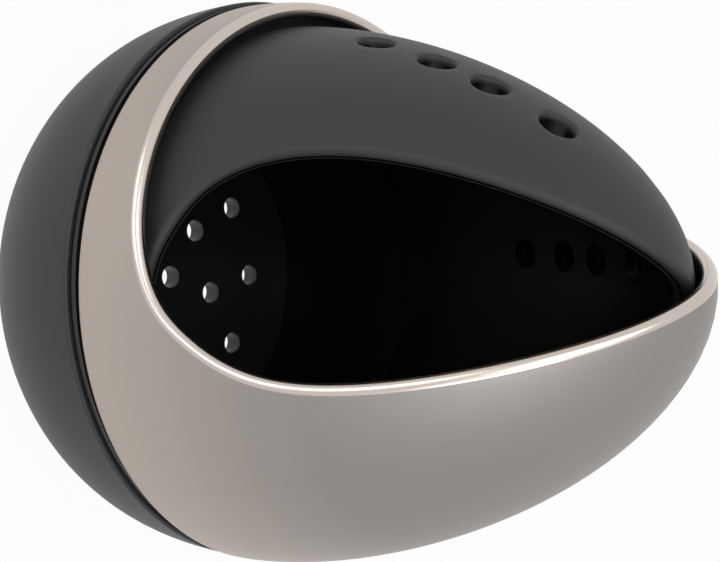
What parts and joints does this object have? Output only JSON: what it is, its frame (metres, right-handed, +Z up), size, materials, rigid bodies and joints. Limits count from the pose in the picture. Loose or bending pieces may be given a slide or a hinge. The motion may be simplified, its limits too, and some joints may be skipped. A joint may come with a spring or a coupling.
{
  "type": "ventilated egg-shaped pod with a rotary shutter",
  "caption": "Hollow egg-shaped pod: a soft dark cup with a perforated floor and a vented half hood, shut or opened by a turning half shell of satin metal.",
  "frame": {"origin": "centre of the face the pod stands on, on its axis", "axes": "+Z up along the pod's axis to the nose; -Y through the middle of the open mouth; +X to the right when facing the mouth"},
  "size_m": [0.0664, 0.0664, 0.0774],
  "materials": {
    "satin_metal": "satin warm grey metal, turned and bead blasted",
    "soft_dark": "matte soft touch, dark blue grey",
    "soft_charcoal": "matte soft touch, charcoal",
    "gloss_black": "moulded gloss black",
    "bearing_black": "moulded black acetal",
    "black_rubber": "matte black rubber",
    "steel": "plain steel",
    "black_steel": "black-oxide spring steel"
  },
  "bodies": {
    "base": {"base_cup": "gloss_black", "floor_plate": "gloss_black", "rear_dome": "soft_dark", "foot_ring": "black_rubber", "hood_core": "gloss_black", "hood_skin": "soft_charcoal", "bearing_ring": "bearing_black", "retaining_ring": "black_steel", "thrust_washer": "bearing_black", "stop_pin": "steel", "dome_screw_1": "steel", "dome_screw_2": "steel", "dome_screw_3": "steel", "hood_screw_1": "steel", "hood_screw_2": "steel", "hood_screw_3": "steel"},
    "shutter": {"metal_shell": "satin_metal", "shell_liner": "gloss_black", "collar_ring": "gloss_black", "friction_ring": "black_rubber"}
  },
  "joints": [
    {"name": "shutter_turn", "type": "hinge", "parent": "base", "child": "shutter", "pos_m": [0, 0, 0.0277], "axis": [0, 0, 1], "range_deg": [-53.5, 126.5]}
  ]
}
